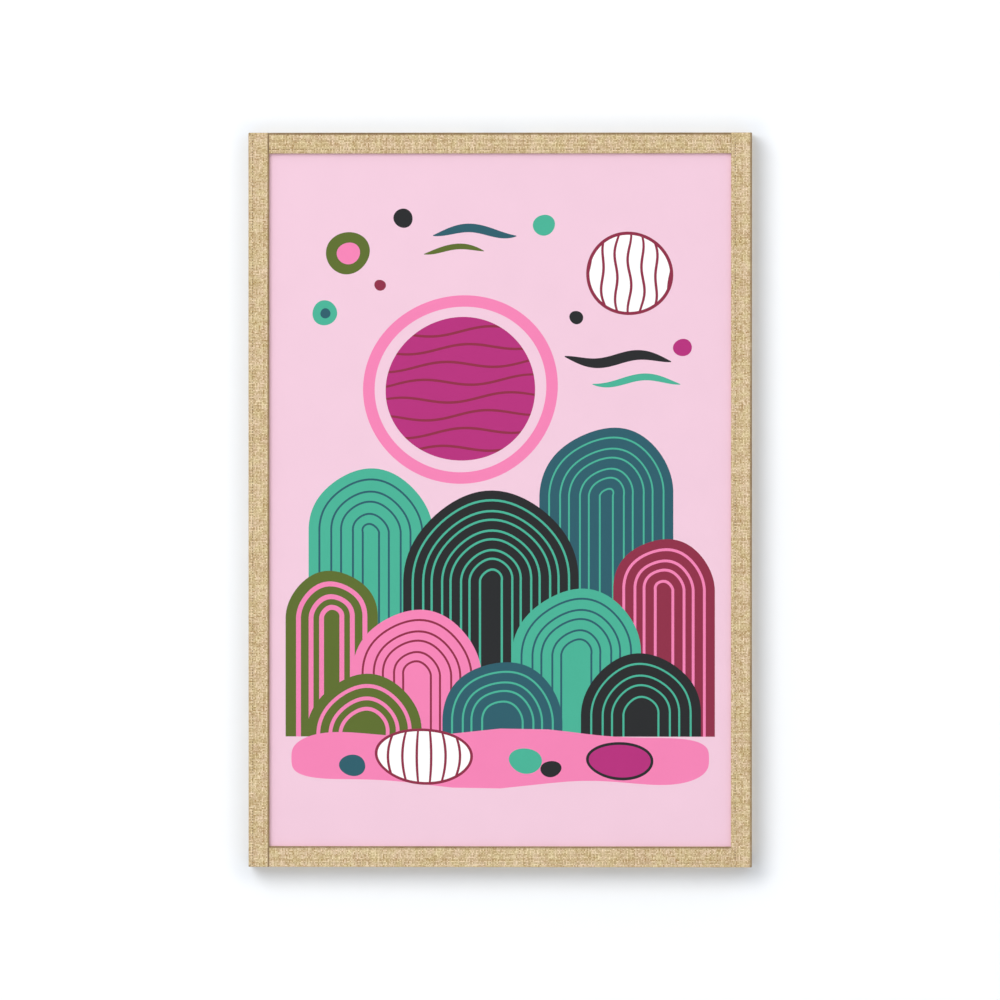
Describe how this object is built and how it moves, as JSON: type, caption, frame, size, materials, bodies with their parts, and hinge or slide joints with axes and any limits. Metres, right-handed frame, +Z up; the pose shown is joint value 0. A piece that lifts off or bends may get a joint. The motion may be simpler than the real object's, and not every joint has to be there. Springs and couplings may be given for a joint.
{
  "type": "framed wall print",
  "caption": "Upright rectangular wall picture: an unglazed print behind the lip of a linen-wrapped wooden frame, with a backing board, steel points and a sawtooth hanger.",
  "frame": {"origin": "the hang point: on the wall plane, straight behind the middle notch of the sawtooth hanger on the top rail", "axes": "+X to the right seen from the front, +Y out of the back into the wall, +Z up"},
  "size_m": [0.436, 0.0231, 0.636],
  "materials": {
    "linen": "natural undyed linen, coarse plain weave, matt",
    "pine": "planed, bare",
    "beech": "turned, bare",
    "printed_paper": "matt printed paper, pale pink ground",
    "grey_board": "pressed grey board",
    "hardboard": "smooth pressed fibre board",
    "zinc_steel": "bright zinc plate",
    "rubber": "matt black rubber"
  },
  "bodies": {
    "root": {"linen_stile_left": "linen", "linen_stile_right": "linen", "linen_rail_top": "linen", "linen_rail_bottom": "linen", "core_stile_left": "pine", "core_stile_right": "pine", "core_rail_top": "pine", "core_rail_bottom": "pine", "dowel_top_left": "beech", "dowel_top_right": "beech", "dowel_bottom_left": "beech", "dowel_bottom_right": "beech", "print_sheet": "printed_paper", "mounting_board": "grey_board", "backing_board": "hardboard", "point_left_1": "zinc_steel", "point_left_2": "zinc_steel", "point_left_3": "zinc_steel", "point_left_4": "zinc_steel", "point_right_1": "zinc_steel", "point_right_2": "zinc_steel", "point_right_3": "zinc_steel", "point_right_4": "zinc_steel", "point_top_1": "zinc_steel", "point_top_2": "zinc_steel", "point_top_3": "zinc_steel", "point_bottom_1": "zinc_steel", "point_bottom_2": "zinc_steel", "point_bottom_3": "zinc_steel", "sawtooth_hanger": "zinc_steel", "hanger_nail_left": "zinc_steel", "hanger_nail_right": "zinc_steel", "bumper_left": "rubber", "bumper_right": "rubber"}
  },
  "joints": []
}
